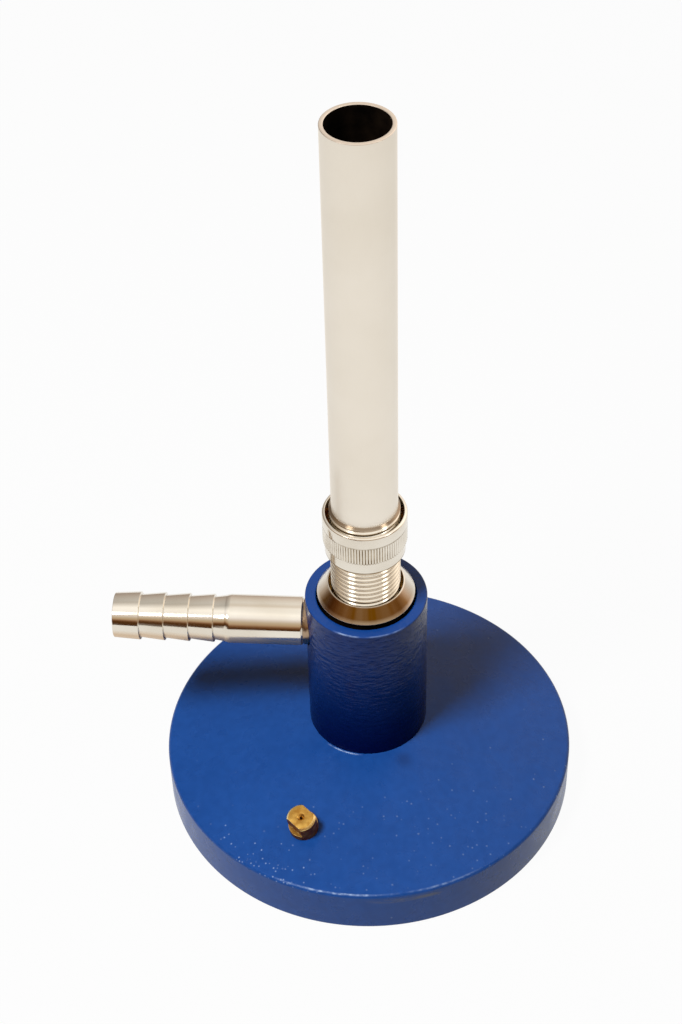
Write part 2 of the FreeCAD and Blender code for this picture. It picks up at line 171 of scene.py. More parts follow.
# Shares of the knurl's depth, by the steps away from the middle of a groove
KNURL_GROOVE = (1.0, 0.62, 0.12)
CROWN_START = KNURL_TOP + 2.35 * MM
CROWN_INSET = 0.45 * MM
CROWN_BULGE = 0.09 * MM
RING_RIM_WIDTH = 0.15 * MM
RING_COUNTERBORE_RADIUS = RING_RADIUS - CROWN_INSET - RING_RIM_WIDTH
RING_COUNTERBORE_DEPTH = 3.6 * MM
RING_LIP_ROUND = 0.06 * MM

# Gas jets
JET_SEAT = body_high.z
JET_HEAD_RADIUS = jet_high.y
JET_HEAD_HEIGHT = jet_high.z - JET_SEAT
JET_STEM_LENGTH = JET_SEAT - jet_low.z
JET_STEM_RADIUS = 2.5 * MM
JET_HOLE_RADIUS = 2.55 * MM
JET_HOLE_DEPTH = 5.0 * MM
JET_BORE_RADIUS = 1.1 * MM
JET_ORIFICE_RADIUS = 0.3 * MM
JET_ORIFICE_LENGTH = 0.9 * MM
JET_DIMPLE_RADIUS = 0.8 * MM
JET_DIMPLE_DEPTH = 0.4 * MM
JET_CHAMFER = 0.4 * MM
JET_EDGE_ROUND = 0.1 * MM
JET_FLATS_WIDTH = 4.3 * MM
JET_FLATS_DEPTH = 3.05 * MM
JET_FLATS_TURN = math.radians(136.9)
SPARE_JET_INSET = 12.3 * MM
SPARE_JET_AZIMUTH = math.radians(247.8)

BASE_SLOPE = math.atan((BASE_FOOT - RIM_HEIGHT) / (BASE_RADIUS - SEAT_RADIUS))
spare_jet_distance = BASE_RADIUS - SPARE_JET_INSET
spare_jet_seat = Vector(
    (
        spare_jet_distance * math.cos(SPARE_JET_AZIMUTH),
        spare_jet_distance * math.sin(SPARE_JET_AZIMUTH),
        RIM_HEIGHT + SPARE_JET_INSET * math.tan(BASE_SLOPE),
    )
)
tilt_axis = Vector((-math.sin(SPARE_JET_AZIMUTH), math.cos(SPARE_JET_AZIMUTH), 0))
SPARE_JET_PLACE = Matrix.Translation(spare_jet_seat) @ Matrix.Rotation(BASE_SLOPE, 4, tilt_axis)
GAS_JET_PLACE = Matrix.Translation((0, 0, JET_SEAT))
NOZZLE_PLACE = Matrix.Translation((0, 0, INLET_HEIGHT)) @ Matrix.Rotation(-math.pi / 2, 4, "Y")


# Modelling tools


def pick(piece):
    """Makes the piece the only selected object, and the active one."""
    bpy.ops.object.select_all(action="DESELECT")
    piece.select_set(True)
    bpy.context.view_layer.objects.active = piece


def turned(name, profile, segments):
    """A closed turned piece. Each (radius, height) corner of its profile is one extruded ring."""
    bpy.ops.object.select_all(action="DESELECT")
    radius, height = profile[0]
    bpy.ops.mesh.primitive_circle_add(vertices=segments, radius=radius, location=(0, 0, height))
    piece = bpy.context.object
    piece.name = name
    bpy.ops.object.transform_apply(location=True)
    bpy.ops.object.mode_set(mode="EDIT")
    bpy.ops.mesh.select_all(action="SELECT")
    for next_radius, next_height in profile[1:] + profile[:1]:
        bpy.ops.mesh.extrude_edges_move(TRANSFORM_OT_translate={"value": (0, 0, next_height - height)})
        scale = next_radius / radius
        bpy.ops.transform.resize(value=(scale, scale, 1), center_override=(0, 0, 0))
        radius, height = next_radius, next_height
    bpy.ops.mesh.select_all(action="SELECT")
    bpy.ops.mesh.remove_doubles(threshold=TOUCH)
    bpy.ops.mesh.normals_make_consistent(inside=False)
    bpy.ops.object.mode_set(mode="OBJECT")
    return piece


def off_axis(point):
    """The distance of a point from the Z axis."""
    return math.hypot(point.x, point.y)


def draw_in(vertex, depth):
    """Moves a mesh point towards the Z axis."""
    scale = 1 - depth / off_axis(vertex.co)
    vertex.co.x *= scale
    vertex.co.y *= scale


def on_ring(point, radius, height):
    """Whether a point lies on the turned edge at that radius and height."""
    return abs(off_axis(point) - radius) < TOUCH and abs(point.z - height) < TOUCH


def select_edges(piece, test):
    """In edit mode, selects just the edges that pass the test."""
    bpy.ops.mesh.select_mode(type="EDGE")
    bpy.ops.mesh.select_all(action="DESELECT")
    mesh = bmesh.from_edit_mesh(piece.data)
    for edge in mesh.edges:
        edge.select_set(test(edge))
    bmesh.update_edit_mesh(piece.data)


def round_ring(piece, radius, height, width, steps=3):
    """Rounds the turned edge at that radius and height."""
    pick(piece)
    bpy.ops.object.mode_set(mode="EDIT")
    select_edges(piece, lambda edge: all(on_ring(vert.co, radius, height) for vert in edge.verts))
    bpy.ops.mesh.bevel(offset=width, segments=steps, affect="EDGES", clamp_overlap=True)
    bpy.ops.object.mode_set(mode="OBJECT")


def arc_points(start, end, bulge, count):
    """Points along an outward arc of a turned profile that rises by bulge over its chord."""
    chord = Vector((end[0] - start[0], end[1] - start[1]))
    outward = Vector((chord.y, -chord.x)).normalized()
    points = []
    for step in range(1, count):
        share = step / count
        swell = bulge * 4 * share * (1 - share)
        points.append(
            (
                start[0] + chord.x * share + outward.x * swell,
                start[1] + chord.y * share + outward.y * swell,
            )
        )
    return points


def put(piece, place):
    """Moves a piece that was made on the Z axis to its place, which goes into its mesh."""
    pick(piece)
    piece.matrix_world = place
    bpy.ops.object.transform_apply(location=True, rotation=True, scale=True)
    return piece


def rod(radius, bottom, top, place, segments=64):
    """A plain cutter between two heights on the Z axis, put at its place."""
    bpy.ops.object.select_all(action="DESELECT")
    bpy.ops.mesh.primitive_cylinder_add(
        vertices=segments, radius=radius, depth=top - bottom, location=(0, 0, (top + bottom) / 2)
    )
    cutter = bpy.context.object
    bpy.ops.object.transform_apply(location=True)
    return put(cutter, place)


def block(low, high, turn):
    """A box-shaped cutter between two corners, turned about the Z axis."""
    bpy.ops.object.select_all(action="DESELECT")
    middle = (Vector(low) + Vector(high)) / 2
    bpy.ops.mesh.primitive_cube_add(size=1, location=middle, scale=Vector(high) - Vector(low))
    cutter = bpy.context.object
    bpy.ops.object.transform_apply(location=True, scale=True)
    return put(cutter, Matrix.Rotation(turn, 4, "Z"))


def copied(piece, name):
    """A copy of a piece, with a mesh of its own."""
    copy = piece.copy()
    copy.data = piece.data.copy()
    copy.name = name
    bpy.context.collection.objects.link(copy)
    return copy


def apply_modifier(piece, modifier):
    pick(piece)
    bpy.ops.object.modifier_apply(modifier=modifier.name)


def cut_away(piece, cutter):
    """Takes the cutter's shape out of the piece."""
    boolean = piece.modifiers.new("cut", "BOOLEAN")
    boolean.operation = "DIFFERENCE"
    boolean.solver = "EXACT"
    boolean.object = cutter
    apply_modifier(piece, boolean)
    bpy.data.objects.remove(cutter)


def soften_edges(piece, width, angle=30.0):
    """Breaks every edge that turns by more than the angle, in degrees, and merges the points that meet."""
    bevel = piece.modifiers.new("soften", "BEVEL")
    bevel.width = width
    bevel.segments = 2
    bevel.limit_method = "ANGLE"
    bevel.angle_limit = math.radians(angle)
    bevel.use_clamp_overlap = True
    apply_modifier(piece, bevel)
    bpy.ops.object.mode_set(mode="EDIT")
    bpy.ops.mesh.select_all(action="SELECT")
    bpy.ops.mesh.remove_doubles(threshold=TOUCH)
    bpy.ops.object.mode_set(mode="OBJECT")


def hand_over(piece, node, body, material):
    """Finishes a piece: smooth shading that keeps flats flat, its material in the first slot and its body,
    and hides its CAD node.
    """
    pick(piece)
    bpy.ops.object.shade_smooth_by_angle(angle=SMOOTH_ANGLE)
    level = piece.modifiers.new("level", "WEIGHTED_NORMAL")
    level.keep_sharp = True
    apply_modifier(piece, level)
    if not piece.data.materials:
        piece.data.materials.append(material)
    else:
        piece.data.materials[0] = material
    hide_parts(node)
    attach(piece, body)


# Pieces


def model_base():
    recess_radius = BASE_RADIUS - REST_RING_WIDTH
    piece = turned(
        "painted_base",
        [
            (recess_radius, 0),
            (BASE_RADIUS, 0),
            (BASE_RADIUS, RIM_HEIGHT),
            (SEAT_RADIUS, BASE_FOOT),
            (SCREW_HOLE_RADIUS, BASE_FOOT),
            (SCREW_HOLE_RADIUS, COUNTERBORE_ROOF),
            (COUNTERBORE_RADIUS, COUNTERBORE_ROOF),
            (COUNTERBORE_RADIUS, RECESS_DEPTH),
            (recess_radius - RECESS_DRAFT, RECESS_DEPTH),
        ],
        BASE_SEGMENTS,
    )
    round_ring(piece, BASE_RADIUS, RIM_HEIGHT, RIM_ROUND, steps=5)
    round_ring(piece, BASE_RADIUS, 0, EDGE_ROUND)
    round_ring(piece, recess_radius, 0, EDGE_ROUND)
    round_ring(piece, COUNTERBORE_RADIUS, RECESS_DEPTH, EDGE_ROUND)
    cut_away(piece, rod(JET_HOLE_RADIUS, -JET_HOLE_DEPTH, JET_HOLE_DEPTH, SPARE_JET_PLACE))
    return piece


def model_column():
    piece = turned(
        "painted_column",
        [
            (SCREW_BORE_RADIUS, BASE_FOOT),
            (COLUMN_RADIUS, BASE_FOOT),
            (COLUMN_RADIUS, COLUMN_TOP),
            (COLUMN_BORE_RADIUS, COLUMN_TOP),
            (COLUMN_BORE_RADIUS, BODY_SEAT),
            (SCREW_BORE_RADIUS, BODY_SEAT),
        ],
        COLUMN_SEGMENTS,
    )
    round_ring(piece, COLUMN_RADIUS, COLUMN_TOP, COLUMN_EDGE_ROUND)
    round_ring(piece, COLUMN_BORE_RADIUS, COLUMN_TOP, COLUMN_EDGE_ROUND)
    cut_away(piece, rod(PORT_RADIUS, 0, 2 * COLUMN_RADIUS, NOZZLE_PLACE))
    cut_away(piece, rod(SPOT_FACE_RADIUS, WASHER_SEAT, 2 * COLUMN_RADIUS, NOZZLE_PLACE))
    return piece


def model_gas_inlet():
    body_end = (INLET_RADIUS, INLET_BODY_END)
    neck_start = (INLET_NECK_RADIUS, INLET_NECK_START)
    profile = [
        (INLET_BORE_RADIUS, SPIGOT_END),
        (SPIGOT_RADIUS, SPIGOT_END),
        (SPIGOT_RADIUS, INLET_SHOULDER),
        (INLET_RELIEF_RADIUS, INLET_SHOULDER),
        (INLET_RELIEF_RADIUS, INLET_SHOULDER + INLET_RELIEF_WIDTH),
        (INLET_RADIUS, INLET_SHOULDER + INLET_RELIEF_WIDTH),
        body_end,
        *arc_points(body_end, neck_start, INLET_NECK_BULGE, count=5),
        neck_start,
        (BARB_ROOT_RADIUS, BARB_START),
    ]
    for barb in range(BARB_COUNT):
        crest = BARB_START + barb * BARB_PITCH
        profile.append((BARB_CREST_RADIUS, crest))
        if barb < BARB_COUNT - 1:
            profile.append((BARB_ROOT_RADIUS, crest + BARB_PITCH))
    profile += [
        (NOZZLE_TIP_RADIUS, NOZZLE_TIP),
        (INLET_BORE_RADIUS, NOZZLE_TIP),
    ]
    piece = turned("hose_nozzle", profile, NOZZLE_SEGMENTS)
    round_ring(piece, INLET_BORE_RADIUS, NOZZLE_TIP, NOZZLE_MOUTH_ROUND)
    soften_edges(piece, NOZZLE_EDGE_ROUND)
    return put(piece, NOZZLE_PLACE)


def model_inlet_washer():
    piece = turned(
        "nozzle_washer",
        [
            (PORT_RADIUS, WASHER_SEAT),
            (WASHER_RADIUS, WASHER_SEAT),
            (WASHER_RADIUS, INLET_SHOULDER),
            (PORT_RADIUS, INLET_SHOULDER),
        ],
        NOZZLE_SEGMENTS,
    )
    soften_edges(piece, WASHER_EDGE_ROUND)
    return put(piece, NOZZLE_PLACE)


def model_air_cone():
    piece = turned(
        "bright_cone",
        [
            (SKIRT_RADIUS - SKIRT_WALL, CONE_FOOT),
            (SKIRT_RADIUS, CONE_FOOT),
            (SKIRT_RADIUS, SKIRT_TOP),
            (CONE_NECK_RADIUS, SKIRT_TOP),
            (CONE_NECK_RADIUS, CONE_EDGE - CONE_RIM_THICKNESS),
            (CONE_EDGE_RADIUS, CONE_EDGE - CONE_RIM_THICKNESS),
            (CONE_EDGE_RADIUS, CONE_EDGE),
            (CONE_MOUTH_RADIUS, CONE_MOUTH),
            (CONE_MOUTH_RADIUS - CONE_LIP, CONE_MOUTH),
            (SKIRT_RADIUS - SKIRT_WALL, CONE_MOUTH - CONE_INNER_DROP),
        ],
        CONE_SEGMENTS,
    )
    round_ring(piece, CONE_EDGE_RADIUS, CONE_EDGE, CONE_EDGE_ROUND)
    round_ring(piece, CONE_MOUTH_RADIUS, CONE_MOUTH, CONE_LIP_ROUND)
    return piece


def wind_thread(piece, bottom, top):
    """Moves the points of the thread's band in and out along a helix of rounded turns."""
    for vertex in piece.data.vertices:
        height = vertex.co.z
        if abs(off_axis(vertex.co) - THREAD_RADIUS) > TOUCH or not bottom < height < top:
            continue
        turns = height / THREAD_PITCH - math.atan2(vertex.co.y, vertex.co.x) / (2 * math.pi)
        groove = (1 - math.cos(2 * math.pi * turns)) / 2
        fade = min(1, (height - bottom) / THREAD_RUN_OUT, (top - height) / THREAD_RUN_OUT)
        draw_in(vertex, THREAD_DEPTH * groove * fade)


def model_burner_tube():
    thread_bottom = TUBE_FOOT + THREAD_CHAMFER
    thread_end = THREAD_TOP - (THREAD_RADIUS - TUBE_RADIUS)
    span = (thread_end - thread_bottom) / THREAD_SPANS
    thread_rings = [(THREAD_RADIUS, thread_bottom + index * span) for index in range(THREAD_SPANS + 1)]
    piece = turned(
        "nickel_tube",
        [
            (TUBE_BORE_RADIUS, TUBE_FOOT),
            (THREAD_RADIUS - THREAD_CHAMFER, TUBE_FOOT),
            *thread_rings,
            (TUBE_RADIUS, THREAD_TOP),
            (TUBE_RADIUS, TUBE_TOP),
            (TUBE_BORE_RADIUS, TUBE_TOP),
        ],
        TUBE_SEGMENTS,
    )
    round_ring(piece, TUBE_RADIUS, TUBE_TOP, TUBE_LIP_ROUND)
    round_ring(piece, TUBE_BORE_RADIUS, TUBE_TOP, TUBE_LIP_ROUND)

    def crosses_thread(edge):
        ends = [vert.co for vert in edge.verts]
        at_crest = all(abs(off_axis(end) - THREAD_RADIUS) < TOUCH for end in ends)
        return at_crest and abs(ends[0].z - ends[1].z) > TOUCH

    pick(piece)
    bpy.ops.object.mode_set(mode="EDIT")
    select_edges(piece, crosses_thread)
    bpy.ops.mesh.subdivide(number_cuts=THREAD_ROWS)
    bpy.ops.object.mode_set(mode="OBJECT")
    wind_thread(piece, thread_bottom, thread_end)
    return piece


def finish_apart(piece, finishes, choose):
    """Gives each face the finish whose number is chosen for it."""
    for finish in finishes:
        piece.data.materials.append(finish)
    for face in piece.data.polygons:
        face.material_index = int(choose(face))
    return piece


def tube_part(face):
    """0 on the plain outside of the tube, 1 in its bore, 2 on its thread and 3 on its lip."""
    if off_axis(face.center) < TUBE_BORE_RADIUS:
        return 1
    if face.center.z > TUBE_TOP - TUBE_LIP_DEPTH and face.normal.z > TILTED_UP:
        return 3
    return 2 if face.center.z < THREAD_TOP else 0


def in_ring_bore(face):
    return off_axis(face.center) < RING_COUNTERBORE_RADIUS - TOUCH and face.center.z > RING_BOTTOM


def under_cone_rim(face):
    return face.center.z < CONE_EDGE - CONE_RIM_THICKNESS / 2


def jet_part(face):
    """0 on the flats across a jet's axis, 1 on its tarnished sides and 2 on its edges, which carry a painted
    highlight.
    """
    if abs(face.normal.z) < UPRIGHT:
        return 1
    # The chamfer and rounded edges are made pale, a painted highlight.
    rubbed = face.normal.z < LEVEL and off_axis(face.center) > JET_DIMPLE_RADIUS
    return 2 if rubbed else 0


def press_knurl(piece):
    """Presses the straight grooves of the knurl into its band."""
    step = 2 * math.pi / (KNURL_COUNT * KNURL_STEPS)
    for vertex in piece.data.vertices:
        in_band = KNURL_BOTTOM - TOUCH < vertex.co.z < KNURL_TOP - TOUCH
        if abs(off_axis(vertex.co) - RING_RADIUS) > TOUCH or not in_band:
            continue
        place = round(math.atan2(vertex.co.y, vertex.co.x) / step) % KNURL_STEPS
        away = min(place, KNURL_STEPS - place)
        if away < len(KNURL_GROOVE):
            draw_in(vertex, KNURL_DEPTH * KNURL_GROOVE[away])


def model_air_ring():
    crown = (RING_RADIUS, CROWN_START)
    crown_end = (RING_RADIUS - CROWN_INSET, RING_TOP)
    piece = turned(
        "knurled_ring",
        [
            (RING_BORE_RADIUS, RING_BOTTOM),
            (RING_NOSE_RADIUS, RING_BOTTOM),
            (RING_NOSE_RADIUS, KNURL_BOTTOM),
            (RING_RADIUS, KNURL_BOTTOM),
            (RING_RADIUS, KNURL_TOP - KNURL_END),
            (RING_RADIUS, KNURL_TOP),
            crown,
            *arc_points(crown, crown_end, CROWN_BULGE, count=4),
            crown_end,
            (RING_COUNTERBORE_RADIUS, RING_TOP),
            (RING_COUNTERBORE_RADIUS, RING_TOP - RING_COUNTERBORE_DEPTH),
            (RING_BORE_RADIUS, RING_TOP - RING_COUNTERBORE_DEPTH),
        ],
        KNURL_COUNT * KNURL_STEPS,
    )
    round_ring(piece, RING_RADIUS - CROWN_INSET, RING_TOP, RING_LIP_ROUND)
    round_ring(piece, RING_COUNTERBORE_RADIUS, RING_TOP, RING_LIP_ROUND)
    press_knurl(piece)
    return piece


def model_gas_jet():
    """A gas jet standing on its own seat, with its stem below."""
    orifice_foot = JET_HEAD_HEIGHT - JET_ORIFICE_LENGTH
    piece = turned(
        "fitted_jet",
        [
            (JET_BORE_RADIUS, -JET_STEM_LENGTH),
            (JET_STEM_RADIUS, -JET_STEM_LENGTH),
            (JET_STEM_RADIUS, 0),
            (JET_HEAD_RADIUS, 0),
            (JET_HEAD_RADIUS, JET_HEAD_HEIGHT - JET_CHAMFER),
            (JET_HEAD_RADIUS - JET_CHAMFER, JET_HEAD_HEIGHT),
            (JET_DIMPLE_RADIUS, JET_HEAD_HEIGHT),
            (JET_ORIFICE_RADIUS, JET_HEAD_HEIGHT - JET_DIMPLE_DEPTH),
            (JET_ORIFICE_RADIUS, orifice_foot),
            (JET_BORE_RADIUS, orifice_foot),
        ],
        JET_SEGMENTS,
    )
    reach = 2 * JET_HEAD_RADIUS
    for side in range(2):
        flat = block(
            (-reach, JET_FLATS_WIDTH / 2, JET_HEAD_HEIGHT - JET_FLATS_DEPTH),
            (reach, reach, JET_HEAD_HEIGHT + reach),
            JET_FLATS_TURN + side * math.pi,
        )
        cut_away(piece, flat)
    soften_edges(piece, JET_EDGE_ROUND)
    return piece


# Node tools


def dress(tree, item, inputs):
    """Sets a node's inputs. Each is a value, or the socket that feeds it."""
    for socket, given in inputs.items():
        if isinstance(given, bpy.types.NodeSocket):
            tree.links.new(given, item.inputs[socket])
        else:
            item.inputs[socket].default_value = given


def add_node(tree, kind, inputs=None, **settings):
    """Adds a shader node with its settings and inputs."""
    item = tree.nodes.new(f"ShaderNode{kind}")
    for name, setting in settings.items():
        setattr(item, name, setting)
    dress(tree, item, inputs or {})
    return item


def math_node(tree, operation, first, second=0.0, third=0.0):
    inputs = {0: first, 1: second, 2: third}
    return add_node(tree, "Math", inputs, operation=operation).outputs[0]


def times(tree, first, *others):
    """The product of two or more values."""
    for other in others:
        first = math_node(tree, "MULTIPLY", first, other)
    return first


def larger(tree, first, second):
    return math_node(tree, "MAXIMUM", first, second)


def spread(tree, given, low, high, to_low, to_high):
    """Maps a value from one range to another, held at its ends."""
    inputs = {"Value": given, "From Min": low, "From Max": high, "To Min": to_low, "To Max": to_high}
    return add_node(tree, "MapRange", inputs, clamp=True).outputs["Result"]


def blend_colours(tree, share, first, second):
    mixed = add_node(tree, "Mix", {0: share, 6: first, 7: second}, data_type="RGBA")
    return mixed.outputs[2]


def part_of(tree, place, axis):
    """One coordinate of a place."""
    return add_node(tree, "SeparateXYZ", {0: place}).outputs[axis]


def noise(tree, place, scale, detail):
    inputs = {"Vector": place, "Scale": scale, "Detail": detail}
    return add_node(tree, "TexNoise", inputs).outputs[0]


def line_noise(tree, along, detail):
    """Noise that changes in one direction only."""
    inputs = {"W": along, "Scale": 1.0, "Detail": detail}
    return add_node(tree, "TexNoise", inputs, noise_dimensions="1D").outputs[0]


def dots(tree, place, scale, core, edge):
    """Round dots, one in each cell of a pattern, with each cell's random number between 0 and 1."""
    cells = add_node(tree, "TexVoronoi", {"Vector": place, "Scale": scale}).outputs
    chance = add_node(tree, "SeparateColor", {0: cells["Color"]}).outputs[0]
    return spread(tree, cells["Distance"], core, edge, 1.0, 0.0), chance


def new_group(name, inputs, outputs):
    """A shader node group with the given sockets. Returns it with its input and output nodes."""
    group = bpy.data.node_groups.new(name, "ShaderNodeTree")
    for direction, sockets in (("INPUT", inputs), ("OUTPUT", outputs)):
        for socket_name, kind in sockets.items():
            socket_type = f"NodeSocket{kind}"
            group.interface.new_socket(name=socket_name, in_out=direction, socket_type=socket_type)
    start = group.nodes.new("NodeGroupInput")
    end = group.nodes.new("NodeGroupOutput")
    return group, start.outputs, end


def use_group(tree, group, inputs):
    return add_node(tree, "Group", inputs, node_tree=group).outputs


def make_drift_group():
    """Slow change of tone over a surface, between a low and a high value."""
    group, given, end = new_group(
        "tone_drift",
        {"Vector": "Vector", "Scale": "Float", "Low": "Float", "High": "Float"},
        {"Tone": "Float"},
    )
    clouds = noise(group, given["Vector"], given["Scale"], 4.0)
    dress(group, end, {"Tone": spread(group, clouds, 0.3, 0.7, given["Low"], given["High"])})
    return group


def make_paint_group():
    """The skin of sprayed paint in millimetres of height: orange peel, slow waves and dust nibs."""
    group, given, end = new_group(
        "paint_skin",
        {
            "Vector": "Vector",
            "Peel Scale": "Float",
            "Peel Height": "Float",
            "Wave Height": "Float",
            "Nib Height": "Float",
        },
        {"Height": "Float", "Nibs": "Float", "Peel": "Float"},
    )
    place = given["Vector"]
    peel = noise(group, place, given["Peel Scale"], 3.0)
    wave = noise(group, place, 130.0, 2.0)
    spots, chance = dots(group, place, 420.0, 0.03, 0.12)
    chosen = math_node(group, "GREATER_THAN", chance, 0.6)
    dusty = spread(group, noise(group, place, 45.0, 1.0), 0.45, 0.6, 0.15, 1.0)
    nibs = times(group, spots, chosen, dusty)
    height = times(group, peel, given["Peel Height"])
    height = math_node(group, "MULTIPLY_ADD", wave, given["Wave Height"], height)
    height = math_node(group, "MULTIPLY_ADD", nibs, given["Nib Height"], height)
    dress(group, end, {"Height": height, "Nibs": nibs, "Peel": peel})
    return group


def make_turning_group():
    """Fine rings left by turning and polishing, by the place along the piece's axis."""
    group, given, end = new_group(
        "turning_marks",
        {"Along": "Float", "Lines": "Float"},
        {"Marks": "Float"},
    )
    dress(group, end, {"Marks": line_noise(group, times(group, given["Along"], given["Lines"]), 5.0)})
    return group


drift_group = make_drift_group()
paint_group = make_paint_group()
turning_group = make_turning_group()


def drift(tree, place, scale, low=0.0, high=1.0):
    inputs = {"Vector": place, "Scale": scale, "Low": low, "High": high}
    return use_group(tree, drift_group, inputs)["Tone"]


def turning_marks(tree, along, lines):
    return use_group(tree, turning_group, {"Along": along, "Lines": lines})["Marks"]


# Wear and dirt, and painted light and shade. A bearing is in degrees about the burner's axis, and -90 is the
# front.

CHIPS_BEARING = -117.0
DUST_BEARING = -74.0
RIM_HIGHLIGHT_BEARINGS = (-96.0, -66.0)
FOOT_HIGHLIGHT_BEARING = -111.0
COLUMN_HIGHLIGHT_BEARINGS = (-105.0, -72.0)
SCUFF_BEARING = -76.0
DARK_SPOT_PLACE = (8.2 * MM, -13.0 * MM, 17.1 * MM)
COLUMN_SHINE = 0.22
FOOT_SHINE = 0.04


def round_place(tree, place):
    """The distance of a place from the burner's axis, its bearing and its height."""
    parts = add_node(tree, "SeparateXYZ", {0: place}).outputs
    square = times(tree, parts["Y"], parts["Y"])
    distance = math_node(tree, "SQRT", math_node(tree, "MULTIPLY_ADD", parts["X"], parts["X"], square))
    bearing = math_node(tree, "DEGREES", math_node(tree, "ARCTAN2", parts["Y"], parts["X"]))
    return distance, bearing, parts["Z"]


def near(tree, given, middle, full, none):
    """1 where a value is within full of the middle, falling to 0 at none."""
    away = math_node(tree, "ABSOLUTE", math_node(tree, "SUBTRACT", given, middle))
    return spread(tree, away, full, none, 1.0, 0.0)


# The column's top face. Its lighter blue is painted light, against the painted shade of the column's side.
def column_lit_top(tree, place):
    height = part_of(tree, place, "Z")
    return spread(tree, height, COLUMN_TOP - 0.3 * MM, COLUMN_TOP - 0.05 * MM, 0.0, 1.0)


def column_foot_shade(tree, place):
    """The lower part of the column, painted darker towards the foot as shade."""
    height = part_of(tree, place, "Z")
    return spread(tree, height, BASE_FOOT, BASE_FOOT + 26.0 * MM, 1.0, 0.0)


def column_shine(tree, place):
    """The shine of the column's paint, less at its foot."""
    return spread(tree, column_foot_shade(tree, place), 0.25, 0.7, COLUMN_SHINE, FOOT_SHINE)


def column_edge_highlight(tree, place):
    """A thin painted highlight on the column's upper edge, at the front and fainter to the right."""
    distance, bearing, height = round_place(tree, place)
    line = near(tree, distance, COLUMN_RADIUS - 0.13 * MM, 0.05 * MM, 0.2 * MM)
    at_top = spread(tree, height, COLUMN_TOP - 0.35 * MM, COLUMN_TOP - 0.1 * MM, 0.0, 1.0)
    left = near(tree, bearing, COLUMN_HIGHLIGHT_BEARINGS[0], 4.0, 15.0)
    right = near(tree, bearing, COLUMN_HIGHLIGHT_BEARINGS[1], 14.0, 26.0)
    both = math_node(tree, "MULTIPLY_ADD", right, 0.35, left)
    ragged = spread(tree, noise(tree, place, 500.0, 2.0), 0.35, 0.55, 0.1, 0.7)
    return times(tree, line, at_top, both, ragged)


def specks(tree, place, scale, wanted):
    """Small round specks, more of them where the wanted share is higher."""
    spots, chance = dots(tree, place, scale, 0.06, 0.28)
    return times(tree, spots, math_node(tree, "LESS_THAN", chance, wanted))


def rim_chips_and_highlights(tree, place):
    """Chipped and dusty paint at the front of the base, and painted highlights.

    Chips lie along the rim, fainter dust over the top, and painted highlights on the rim and round the
    column's foot.
    """
    distance, bearing, height = round_place(tree, place)
    at_rim = spread(tree, distance, BASE_RADIUS - 7.5 * MM, BASE_RADIUS - 0.8 * MM, 0.0, 0.75)
    at_rim = times(tree, at_rim, near(tree, bearing, CHIPS_BEARING, 9.0, 20.0))
    over_top = spread(tree, distance, 18.0 * MM, 26.0 * MM, 0.0, 0.17)
    over_top = times(tree, over_top, near(tree, bearing, DUST_BEARING, 24.0, 50.0))
    chips = times(tree, specks(tree, place, 1250.0, at_rim), 0.62)
    dust = times(tree, specks(tree, place, 1100.0, over_top), 0.26)
    on_top = spread(tree, height, RIM_HEIGHT - 0.8 * MM, RIM_HEIGHT - 0.2 * MM, 0.0, 1.0)
    loose = times(tree, larger(tree, chips, dust), on_top)
    # The line on the rim's edge and the line round the column's foot are painted highlights.
    edge = near(tree, distance, BASE_RADIUS - 0.42 * MM, 0.06 * MM, 0.22 * MM)
    left = near(tree, bearing, RIM_HIGHLIGHT_BEARINGS[0], 8.0, 18.0)
    right = near(tree, bearing, RIM_HIGHLIGHT_BEARINGS[1], 4.0, 12.0)
    edge = times(tree, edge, math_node(tree, "MULTIPLY_ADD", right, 0.5, left))
    foot = near(tree, distance, SEAT_RADIUS + 0.05 * MM, 0.02 * MM, 0.2 * MM)
    foot = times(tree, foot, near(tree, bearing, FOOT_HIGHLIGHT_BEARING, 8.0, 20.0))
    ragged = spread(tree, noise(tree, place, 700.0, 3.0), 0.42, 0.58, 0.18, 0.75)
    return larger(tree, loose, times(tree, larger(tree, edge, foot), ragged))


def foot_dark_spot(tree, place):
    """A small dark spot on the base, before the column's foot."""
    away = add_node(tree, "VectorMath", {0: place, 1: DARK_SPOT_PLACE}, operation="DISTANCE").outputs["Value"]
    return spread(tree, away, 0.7 * MM, 2.2 * MM, 0.5, 0.0)


def rim_scuff(tree, place):
    """A rubbed patch on the base's side, just below the rim."""
    distance, bearing, height = round_place(tree, place)
    below_rim = near(tree, height, RIM_HEIGHT - 1.7 * MM, 0.2 * MM, 0.8 * MM)
    in_front = near(tree, bearing, SCUFF_BEARING, 6.0, 12.0)
    outside = spread(tree, distance, BASE_RADIUS - 0.6 * MM, BASE_RADIUS, 0.0, 1.0)
    streaks = add_node(tree, "Mapping", {"Vector": place, "Scale": (1, 1, 4)}).outputs[0]
    ragged = spread(tree, noise(tree, streaks, 260.0, 4.0), 0.42, 0.6, 0.0, 0.7)
    return times(tree, below_rim, in_front, outside, ragged)


